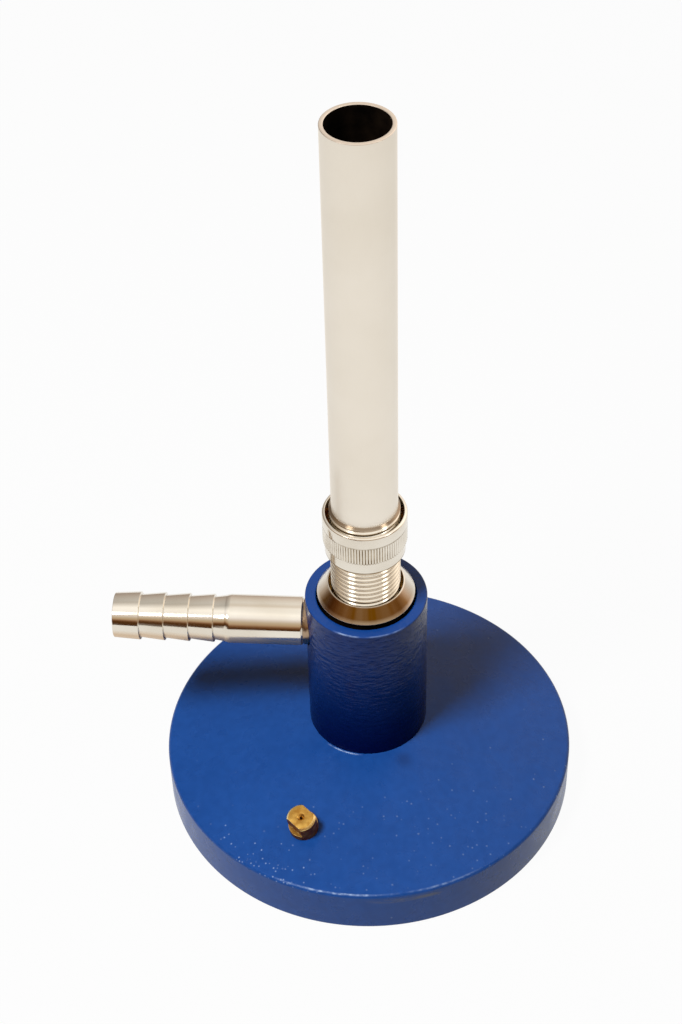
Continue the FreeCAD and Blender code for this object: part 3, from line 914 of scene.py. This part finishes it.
def knurl_darkening_and_edge_shadow(tree, place):
    """Darker in the knurl's grooves and at both of their ends, and a painted shadow line at the ring's lower
    edge.
    """
    distance, _, height = round_place(tree, place)
    ends = [near(tree, height, end, 0.08 * MM, 0.26 * MM) for end in (KNURL_BOTTOM, KNURL_TOP)]
    in_groove = spread(tree, distance, RING_RADIUS - KNURL_DEPTH, RING_RADIUS - 0.04 * MM, 0.9, 0.0)
    on_knurl = near(tree, height, (KNURL_BOTTOM + KNURL_TOP) / 2, 2.0 * MM, 2.1 * MM)
    dirt = larger(tree, larger(tree, *ends), times(tree, in_groove, on_knurl))
    # The line at the ring's lower edge is a painted shadow of the gap below it.
    lower_edge = near(tree, height, RING_BOTTOM, 0.14 * MM, 0.26 * MM)
    return larger(tree, times(tree, dirt, drift(tree, place, 420.0)), lower_edge)


def thread_run_out_darkening(tree, place):
    """Darker brown where the thread runs out."""
    height = part_of(tree, place, "Z")
    return spread(tree, height, THREAD_TOP - 0.9 * MM, THREAD_TOP - 0.3 * MM, 0.0, 0.85)


def heat_stain_and_painted_reflection(tree, place):
    """Brown on the cone's sloping face, in runs down the slope: heat stain, with a painted dark reflection.

    It is strongest at the front, where it paints the dark reflection, and lighter at the lower edge, a
    painted highlight.
    """
    _, bearing, height = round_place(tree, place)
    front = spread(tree, part_of(tree, place, "Y"), -4.2 * MM, 1.4 * MM, 1.0, 0.0)
    below_lip = spread(tree, height, CONE_MOUTH - 0.2 * MM, CONE_MOUTH, 1.0, 0.4)
    above_edge = spread(tree, height, CONE_EDGE + 0.15 * MM, CONE_EDGE + 0.75 * MM, 0.45, 1.0)
    runs = line_noise(tree, times(tree, bearing, 0.045), 2.0)
    return times(tree, front, below_lip, above_edge, spread(tree, runs, 0.35, 0.65, 0.86, 1.0))


def nozzle_underside_reflection(tree, place):
    """The lower side of the nozzle, duller and browner: a painted reflection of the shaded base below it."""
    height = part_of(tree, place, "Z")
    return spread(tree, height, INLET_HEIGHT - 1.1 * MM, INLET_HEIGHT + 0.3 * MM, 1.0, 0.0)


# Materials


def clear_nodes(owner):
    """The emptied node tree of a material or of the world."""
    owner.use_nodes = True
    owner.node_tree.nodes.clear()
    return owner.node_tree


def new_material(name):
    """An empty material with its shader and its object coordinates."""
    material = bpy.data.materials.new(name)
    tree = clear_nodes(material)
    shader = add_node(tree, "BsdfPrincipled")
    add_node(tree, "OutputMaterial", {"Surface": shader.outputs[0]})
    place = add_node(tree, "TexCoord").outputs["Object"]
    return material, tree, shader, place


def bump(tree, height, distance):
    """The normals of a surface raised by a height, which counts in the given distance."""
    return add_node(tree, "Bump", {"Height": height, "Distance": distance, "Strength": 1.0}).outputs[0]


def two_tones(tree, share, tones):
    first, second = tones
    return blend_colours(tree, share, (*first, 1), (*second, 1))


def blue_paint(name, blues, skin_sizes, stretch, gloss, shine, touches):
    """Blue enamel over cast iron, between a deep and a light tone.

    Its touches are other tones by their masks. Its shine is a value or a mask.
    """
    material, tree, shader, place = new_material(name)
    stretched = add_node(tree, "Mapping", {"Vector": place, "Scale": stretch}).outputs[0]
    skin = use_group(tree, paint_group, {"Vector": stretched, **skin_sizes})
    clouds = drift(tree, place, 60.0, 0.0, 0.5)
    tone = math_node(tree, "ADD", clouds, spread(tree, skin["Peel"], 0.35, 0.65, 0.0, 0.5))
    colour = two_tones(tree, tone, blues)
    colour = blend_colours(tree, times(tree, skin["Nibs"], 0.25), colour, (*DUST_AND_HIGHLIGHT_TONE, 1))
    for mask, touch in touches:
        colour = blend_colours(tree, mask(tree, place), colour, (*touch, 1))
    inputs = {
        "Base Color": colour,
        "Roughness": drift(tree, place, 220.0, *gloss),
        "Specular IOR Level": shine(tree, place) if callable(shine) else shine,
        "Normal": bump(tree, skin["Height"], MM),
    }
    dress(tree, shader, inputs)
    return material


def nickel(name, axis, tones, gloss, marks, smudge, stain=None, dulled=None):
    """Nickel plate over turned brass, with rings about the named axis and slow smudges.

    It may have a stain by a mask, and be rougher by a mask.
    """
    material, tree, shader, place = new_material(name)
    lines, marks_height = marks
    rings = turning_marks(tree, part_of(tree, place, axis), lines)
    tone = drift(tree, place, smudge)
    colour = two_tones(tree, tone, tones)
    if stain:
        stain_mask, stain_colour = stain
        colour = blend_colours(tree, stain_mask(tree, place), colour, (*stain_colour, 1))
    rough = spread(tree, math_node(tree, "ADD", rings, tone), 0.6, 1.4, gloss[1], gloss[0])
    if dulled:
        dull_mask, added = dulled
        rough = math_node(tree, "MULTIPLY_ADD", dull_mask(tree, place), added, rough)
    inputs = {
        "Base Color": colour,
        "Roughness": rough,
        "Metallic": 1.0,
        "Normal": bump(tree, rings, marks_height),
    }
    dress(tree, shader, inputs)
    return material


def brush_lengthwise(material, strength):
    """Lengthwise polishing lines on a piece about the Z axis, which spread its reflections sideways."""
    tree = material.node_tree
    round_axis = add_node(tree, "Tangent", direction_type="RADIAL", axis="Z").outputs[0]
    dress(tree, tree.nodes["Principled BSDF"], {"Anisotropic": strength, "Tangent": round_axis})


def turned_brass(name, tones, gloss, bare=1.0):
    """Brass with turning rings, darker where it has tarnished.

    The bare share of it is metal, and the rest is a dull coat.
    """
    material, tree, shader, place = new_material(name)
    lines, marks_height = BRASS_MARKS
    rings = turning_marks(tree, part_of(tree, place, "Z"), lines)
    tarnish = drift(tree, place, 900.0)
    inputs = {
        "Base Color": two_tones(tree, tarnish, tones),
        "Roughness": spread(tree, tarnish, 0.0, 1.0, gloss[1], gloss[0]),
        "Metallic": bare,
        "Specular IOR Level": 0.1,
        "Normal": bump(tree, rings, marks_height),
    }
    dress(tree, shader, inputs)
    return material


def zinc_plate():
    """Zinc plated steel, a little cloudy."""
    material, tree, shader, place = new_material("zinc_plate")
    cloud = drift(tree, place, 700.0)
    inputs = {
        "Base Color": two_tones(tree, cloud, ZINC_TONES),
        "Roughness": spread(tree, cloud, 0.0, 1.0, 0.5, 0.3),
        "Metallic": 1.0,
        "Normal": bump(tree, cloud, 0.01 * MM),
    }
    dress(tree, shader, inputs)
    return material


def soot_and_shade_black():
    """Metal blackened by the flame and by old dirt. Under the cone's rim it is painted shade."""
    material, tree, shader, place = new_material("soot_and_shade_black")
    cloud = drift(tree, place, 400.0)
    inputs = {
        "Base Color": two_tones(tree, cloud, SOOT_AND_SHADE_TONES),
        "Roughness": spread(tree, cloud, 0.0, 1.0, 0.95, 0.75),
        "Specular IOR Level": 0.03,
        "Normal": bump(tree, cloud, 0.03 * MM),
    }
    dress(tree, shader, inputs)
    return material


BASE_BLUES = ((0.0055, 0.052, 0.235), (0.01, 0.069, 0.292))
# The column's blues are a darker copy of the base's enamel, painted shade for its upright side
SHADED_COLUMN_BLUES = ((0.0015, 0.014, 0.095), (0.0045, 0.03, 0.155))
FOOT_SHADE_BLUE = (0.0004, 0.003, 0.05)
# The lit top face of the column, as painted light
LIT_TOP_BLUE = (0.006, 0.05, 0.24)
DARK_SPOT_BLUE = (0.004, 0.028, 0.13)
# A pale tone for dust and chips, and for the painted highlights on the rim and the column's edge
DUST_AND_HIGHLIGHT_TONE = (0.4, 0.52, 0.75)
SCUFF_TONE = (0.13, 0.13, 0.13)
NICKEL_TONES = ((0.735, 0.67, 0.565), (0.80, 0.745, 0.65))
TUBE_TONES = ((0.805, 0.73, 0.615), (0.855, 0.785, 0.68))
LIP_TONES = ((0.67, 0.57, 0.47), (0.76, 0.66, 0.56))
THREAD_TONES = ((0.69, 0.62, 0.5), (0.79, 0.73, 0.61))
WASHER_TONES = ((0.2, 0.13, 0.08), (0.42, 0.3, 0.2))
UNDERSIDE_REFLECTION_TONE = (0.66, 0.5, 0.34)
KNURL_BROWN = (0.2, 0.13, 0.06)
THREAD_BROWN = (0.2, 0.13, 0.07)
HEAT_AND_REFLECTION_BROWN = (0.21, 0.09, 0.004)
BRASS_TONES = ((0.46, 0.22, 0.04), (0.7, 0.42, 0.1))
EDGE_HIGHLIGHT_TONES = ((0.78, 0.55, 0.2), (0.95, 0.8, 0.42))
TARNISH_AND_SHADE_TONES = ((0.1, 0.01, 0.003), (0.26, 0.1, 0.012))
ZINC_TONES = ((0.42, 0.43, 0.45), (0.66, 0.67, 0.68))
SOOT_AND_SHADE_TONES = ((0.0015, 0.001, 0.0008), (0.008, 0.005, 0.003))

# Turning marks: lines to the metre, and their height
BRIGHT_MARKS = (6000.0, 0.003 * MM)
SATIN_MARKS = (2500.0, 0.001 * MM)
BRASS_MARKS = (9000.0, 0.006 * MM)

base_paint = blue_paint(
    "blue_enamel",
    BASE_BLUES,
    {"Peel Scale": 620.0, "Peel Height": 0.016, "Wave Height": 0.05, "Nib Height": 0.07},
    stretch=(1, 1, 1),
    gloss=(0.24, 0.34),
    shine=0.2,
    touches=((foot_dark_spot, DARK_SPOT_BLUE), (rim_chips_and_highlights, DUST_AND_HIGHLIGHT_TONE), (rim_scuff, SCUFF_TONE)),
)
# The column's enamel: painted shade on its side and foot, painted light on its top face, a painted highlight
# on its edge
shaded_column_paint = blue_paint(
    "shaded_blue_enamel_on_column",
    SHADED_COLUMN_BLUES,
    {"Peel Scale": 520.0, "Peel Height": 0.12, "Wave Height": 0.06, "Nib Height": 0.03},
    stretch=(1, 1, 2.6),
    gloss=(0.18, 0.28),
    shine=column_shine,
    touches=((column_foot_shade, FOOT_SHADE_BLUE), (column_lit_top, LIT_TOP_BLUE), (column_edge_highlight, DUST_AND_HIGHLIGHT_TONE)),
)
nozzle_nickel = nickel(
    "bright_nickel_nozzle",
    "X",
    NICKEL_TONES,
    gloss=(0.08, 0.13),
    marks=BRIGHT_MARKS,
    smudge=120.0,
    stain=(nozzle_underside_reflection, UNDERSIDE_REFLECTION_TONE),
    dulled=(nozzle_underside_reflection, 0.3),
)
washer_nickel = nickel(
    "browned_nickel_washer", "X", WASHER_TONES, gloss=(0.2, 0.3), marks=BRIGHT_MARKS, smudge=300.0
)
ring_nickel = nickel(
    "bright_nickel_ring",
    "Z",
    NICKEL_TONES,
    gloss=(0.14, 0.2),
    marks=BRIGHT_MARKS,
    smudge=160.0,
    stain=(knurl_darkening_and_edge_shadow, KNURL_BROWN),
)
cone_nickel = nickel(
    "browned_nickel_cone",
    "Z",
    NICKEL_TONES,
    gloss=(0.14, 0.22),
    marks=BRIGHT_MARKS,
    smudge=160.0,
    stain=(heat_stain_and_painted_reflection, HEAT_AND_REFLECTION_BROWN),
)
tube_nickel = nickel(
    "satin_nickel_tube", "Z", TUBE_TONES, gloss=(0.28, 0.32), marks=SATIN_MARKS, smudge=45.0
)
brush_lengthwise(tube_nickel, strength=0.97)
thread_nickel = nickel(
    "bright_nickel_thread",
    "Z",
    THREAD_TONES,
    gloss=(0.14, 0.2),
    marks=SATIN_MARKS,
    smudge=160.0,
    stain=(thread_run_out_darkening, THREAD_BROWN),
)
lip_nickel = nickel(
    "dulled_nickel_lip", "Z", LIP_TONES, gloss=(0.26, 0.32), marks=SATIN_MARKS, smudge=90.0
)
brass = turned_brass("turned_brass", BRASS_TONES, gloss=(0.24, 0.4))
highlight_brass = turned_brass("edge_highlight_brass", EDGE_HIGHLIGHT_TONES, gloss=(0.2, 0.3))
dark_brass_and_shade = turned_brass("tarnished_and_shaded_brass", TARNISH_AND_SHADE_TONES, gloss=(0.4, 0.55), bare=0.45)
soot_and_shade = soot_and_shade_black()
zinc = zinc_plate()

hand_over(model_base(), "base", "stand", base_paint)
hand_over(model_column(), "column", "stand", shaded_column_paint)
hand_over(model_gas_inlet(), "gas_inlet", "stand", nozzle_nickel)
hand_over(model_inlet_washer(), "inlet_washer", "stand", washer_nickel)
# Under the cone's rim the faces are black, painted shade in the gap over the column
air_cone = finish_apart(model_air_cone(), (cone_nickel, soot_and_shade), under_cone_rim)
hand_over(air_cone, "air_cone", "stand", cone_nickel)
# The ring's counterbore and bore take the dark brass as painted shade
air_ring = finish_apart(model_air_ring(), (ring_nickel, dark_brass_and_shade), in_ring_bore)
hand_over(air_ring, "air_ring", "ring", ring_nickel)
tube_finishes = (tube_nickel, soot_and_shade, thread_nickel, lip_nickel)
burner_tube = finish_apart(model_burner_tube(), tube_finishes, tube_part)
hand_over(burner_tube, "burner_tube", "tube", tube_nickel)
fitted_jet = finish_apart(model_gas_jet(), (brass, dark_brass_and_shade, highlight_brass), jet_part)
kept_jet = copied(fitted_jet, "kept_jet")
hand_over(put(fitted_jet, GAS_JET_PLACE), "gas_jet", "stand", brass)
hand_over(put(kept_jet, SPARE_JET_PLACE), "spare_jet", "jet", brass)

for node_name, finish in (
    ("gas_body", brass),
    ("tube_carrier", brass),
    ("fixing_screw", zinc),
    ("spring_washer", zinc),
):
    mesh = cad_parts[node_name].data
    mesh.materials.clear()
    mesh.materials.append(finish)


# Camera, at the photograph's viewing angle

CAMERA_DISTANCE = 282.83 * MM
CAMERA_HEIGHT = 341.35 * MM
CAMERA_AZIMUTH = math.radians(-86.1)
CAMERA_SWING = 0.0161
CAMERA_PITCH = 0.7546
CAMERA_ROLL = -0.029
CAMERA_LENS = 70.76

camera_data = bpy.data.cameras.new("camera")
camera_data.lens = CAMERA_LENS
camera_data.sensor_width = 36.0
camera_data.clip_start = 0.01
camera = bpy.data.objects.new("camera", camera_data)
bpy.context.scene.collection.objects.link(camera)
camera.matrix_world = (
    Matrix.Translation(
        (
            CAMERA_DISTANCE * math.cos(CAMERA_AZIMUTH),
            CAMERA_DISTANCE * math.sin(CAMERA_AZIMUTH),
            CAMERA_HEIGHT,
        )
    )
    @ Matrix.Rotation(CAMERA_AZIMUTH + math.pi / 2 + CAMERA_SWING, 4, "Z")
    @ Matrix.Rotation(math.pi / 2 - CAMERA_PITCH, 4, "X")
    @ Matrix.Rotation(CAMERA_ROLL, 4, "Z")
)
bpy.context.scene.camera = camera


# Studio: floor, surroundings and lamps


def white_to_lens(tree):
    """1 for the rays that should see a white background: from the camera, or by way of metal or glass."""
    rays = add_node(tree, "LightPath").outputs
    seen = larger(tree, rays["Is Camera Ray"], rays["Is Glossy Ray"])
    return larger(tree, seen, rays["Is Transmission Ray"])


FLOOR_SIZE = 8.0
FLOOR_GREY = (0.5, 0.5, 0.5, 1)
FLOOR_GLOW = 0.96
WHITE = (1, 1, 1, 1)


def lay_floor():
    """A white floor that keeps a little of its shadows."""
    bpy.ops.object.select_all(action="DESELECT")
    bpy.ops.mesh.primitive_plane_add(size=FLOOR_SIZE, location=(0, 0, 0))
    floor = bpy.context.object
    floor.name = "floor"
    material = bpy.data.materials.new("white_floor")
    tree = clear_nodes(material)
    matt = add_node(tree, "BsdfDiffuse", {"Color": FLOOR_GREY})
    glow = add_node(tree, "Emission", {"Color": WHITE, "Strength": 1.0})
    share = times(tree, white_to_lens(tree), FLOOR_GLOW)
    mixed = add_node(tree, "MixShader", {0: share, 1: matt.outputs[0], 2: glow.outputs[0]})
    add_node(tree, "OutputMaterial", {"Surface": mixed.outputs[0]})
    floor.data.materials.append(material)


ROOM_RADIUS = 0.34
# Colours of the room before the burner and behind it, by the sine of their elevation
ROOM_FRONT_TONES = (
    (0.0, (0.08, 0.03, 0.006)),
    (0.16, (0.1, 0.036, 0.008)),
    (0.28, (0.27, 0.13, 0.06)),
    (0.44, (0.58, 0.42, 0.27)),
    (0.58, (0.65, 0.54, 0.4)),
    (0.7, (0.85, 0.77, 0.72)),
    (0.81, (1.14, 1.12, 1.12)),
    (0.94, (1.3, 1.28, 1.25)),
    (1.0, (1.1, 1.08, 1.05)),
)
ROOM_BACK_TONES = (
    (0.0, (0.5, 0.4, 0.34)),
    (0.5, (0.74, 0.66, 0.6)),
    (0.84, (0.88, 0.85, 0.81)),
    (0.96, (0.8, 0.73, 0.66)),
    (1.0, (1.1, 1.08, 1.05)),
)
SWEEP_TONE = (0.9, 0.87, 0.83, 1)
# The nozzle mirrors this part of the room, which keeps its dark horizon
NOZZLE_WINDOW = (-85.0 * MM, 60.0 * MM, 95.0 * MM)


def tone_ramp(tree, given, tones):
    ramp = add_node(tree, "ValToRGB", {0: given})
    stops = ramp.color_ramp.elements
    while len(stops) < len(tones):
        stops.new(0.5)
    for stop, (position, tone) in zip(stops, tones):
        stop.position = position
        stop.color = (*tone, 1)
    return ramp.outputs[0]


def stand_room():
    """A warm dome over the set, dark low before the burner, pale behind it and paler at the right.

    The floor sweeps up into it. It is seen only in the metal and the gloss.
    """
    bpy.ops.object.select_all(action="DESELECT")
    bpy.ops.mesh.primitive_uv_sphere_add(
        segments=96, ring_count=64, radius=ROOM_RADIUS, location=(0, 0, 0)
    )
    room = bpy.context.object
    room.name = "room"
    material = bpy.data.materials.new("warm_room")
    tree = clear_nodes(material)
    place = add_node(tree, "SeparateXYZ", {0: add_node(tree, "TexCoord").outputs["Object"]}).outputs
    level = spread(tree, place["Z"], 0.0, ROOM_RADIUS, 0.0, 1.0)
    at_left = spread(tree, place["X"], -0.42 * ROOM_RADIUS, -0.24 * ROOM_RADIUS, 0.16, 0.0)
    low = spread(tree, level, 0.34, 0.62, 1.0, 0.0)
    front_level = math_node(tree, "SUBTRACT", level, times(tree, at_left, low))
    before = tone_ramp(tree, front_level, ROOM_FRONT_TONES)
    behind = tone_ramp(tree, level, ROOM_BACK_TONES)
    window = spread(tree, place["X"], -0.5 * ROOM_RADIUS, 0.6 * ROOM_RADIUS, 0.55, 2.1)
    behind = add_node(tree, "VectorMath", {0: behind, "Scale": window}, operation="SCALE").outputs[0]
    share = spread(tree, place["Y"], -0.1 * ROOM_RADIUS, 0.3 * ROOM_RADIUS, 0.0, 1.0)
    colour = blend_colours(tree, share, before, behind)
    beside = spread(tree, near(tree, place["X"], *NOZZLE_WINDOW), 0.0, 1.0, 1.0, 0.0)
    sweep = times(tree, spread(tree, level, 0.1, 0.2, 1.0, 0.0), beside)
    colour = blend_colours(tree, sweep, colour, SWEEP_TONE)
    glow = add_node(tree, "Emission", {"Color": colour, "Strength": 1.0})
    add_node(tree, "OutputMaterial", {"Surface": glow.outputs[0]})
    room.data.materials.append(material)
    room.visible_camera = False
    room.visible_diffuse = False
    room.visible_shadow = False


def light_world():
    """A faint fill from above. The lens sees white."""
    world = bpy.data.worlds.new("studio")
    bpy.context.scene.world = world
    tree = clear_nodes(world)
    up = part_of(tree, add_node(tree, "TexCoord").outputs["Generated"], "Z")
    strength = spread(tree, up, 0.0, 0.8, 0.01, 0.05)
    fill = add_node(tree, "Background", {"Color": WHITE, "Strength": strength})
    white = add_node(tree, "Background", {"Color": WHITE, "Strength": 1.0})
    mixed = add_node(tree, "MixShader", {0: white_to_lens(tree), 1: fill.outputs[0], 2: white.outputs[0]})
    add_node(tree, "OutputWorld", {"Surface": mixed.outputs[0]})


LAMP_TARGET = Vector((0, 0, 0.05))


def hang_lamp(name, azimuth, elevation, distance, size, watts, in_metal):
    """A square softbox that looks at the burner. Its azimuth is measured from the camera's, to the right.

    It either lights the paint or gives the glints in metal and gloss.
    """
    bearing = CAMERA_AZIMUTH + math.radians(azimuth)
    height = math.radians(elevation)
    out = Vector(
        (
            math.cos(bearing) * math.cos(height),
            math.sin(bearing) * math.cos(height),
            math.sin(height),
        )
    )
    lamp_data = bpy.data.lights.new(name, "AREA")
    lamp_data.size = size
    lamp_data.energy = watts
    lamp = bpy.data.objects.new(name, lamp_data)
    bpy.context.scene.collection.objects.link(lamp)
    lamp.location = LAMP_TARGET + out * distance
    lamp.rotation_mode = "QUATERNION"
    lamp.rotation_quaternion = (-out).to_track_quat("-Z", "Y")
    lamp.visible_glossy = in_metal
    lamp.visible_diffuse = not in_metal


lay_floor()
stand_room()
light_world()
hang_lamp("key_lamp", azimuth=-48, elevation=60, distance=0.75, size=0.18, watts=6.3, in_metal=False)
hang_lamp("right_lamp", azimuth=62, elevation=60, distance=0.8, size=0.26, watts=0.6, in_metal=False)
hang_lamp("left_glint", azimuth=-50, elevation=42, distance=0.28, size=0.06, watts=0.045, in_metal=True)
hang_lamp("right_glint", azimuth=62, elevation=40, distance=0.28, size=0.05, watts=0.03, in_metal=True)

bpy.context.scene.view_settings.view_transform = "Standard"
